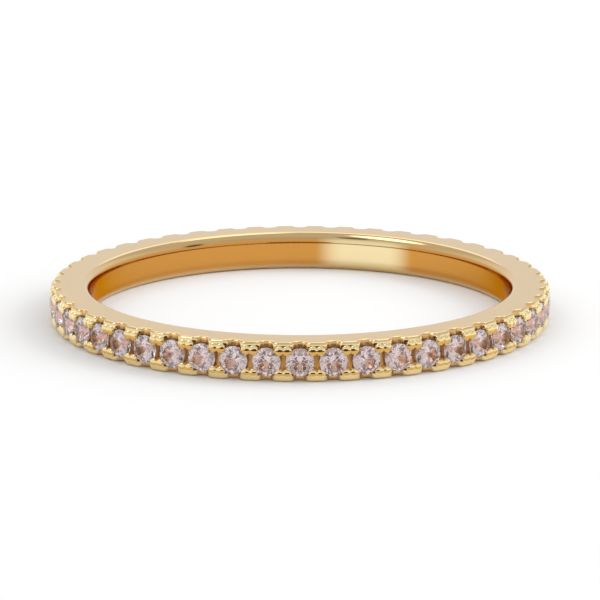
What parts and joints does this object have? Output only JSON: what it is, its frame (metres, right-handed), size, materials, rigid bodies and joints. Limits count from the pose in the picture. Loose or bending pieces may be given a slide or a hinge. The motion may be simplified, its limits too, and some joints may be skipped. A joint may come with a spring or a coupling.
{
  "type": "eternity ring",
  "caption": "Slim gold finger ring with one whole row of small round cut stones held by prongs in a toothed rim.",
  "frame": {"origin": "on the ring's axis, in the plane of the lower side face that it rests on", "axes": "+Z along the ring's axis, up when it lies on its side; -Y towards the middle of the first stone; right-handed"},
  "size_m": [0.0206, 0.0206, 0.0016],
  "materials": {
    "gold": "polished",
    "stone": "polished, facet cut"
  },
  "bodies": {
    "root": {"band": "gold", "stone_01": "stone", "stone_02": "stone", "stone_03": "stone", "stone_04": "stone", "stone_05": "stone", "stone_06": "stone", "stone_07": "stone", "stone_08": "stone", "stone_09": "stone", "stone_10": "stone", "stone_11": "stone", "stone_12": "stone", "stone_13": "stone", "stone_14": "stone", "stone_15": "stone", "stone_16": "stone", "stone_17": "stone", "stone_18": "stone", "stone_19": "stone", "stone_20": "stone", "stone_21": "stone", "stone_22": "stone", "stone_23": "stone", "stone_24": "stone", "stone_25": "stone", "stone_26": "stone", "stone_27": "stone", "stone_28": "stone", "stone_29": "stone", "stone_30": "stone", "stone_31": "stone", "stone_32": "stone", "stone_33": "stone", "stone_34": "stone", "stone_35": "stone", "stone_36": "stone", "stone_37": "stone", "stone_38": "stone", "stone_39": "stone", "stone_40": "stone", "stone_41": "stone", "stone_42": "stone", "stone_43": "stone", "stone_44": "stone", "stone_45": "stone", "stone_46": "stone", "stone_47": "stone", "stone_48": "stone"}
  },
  "joints": []
}
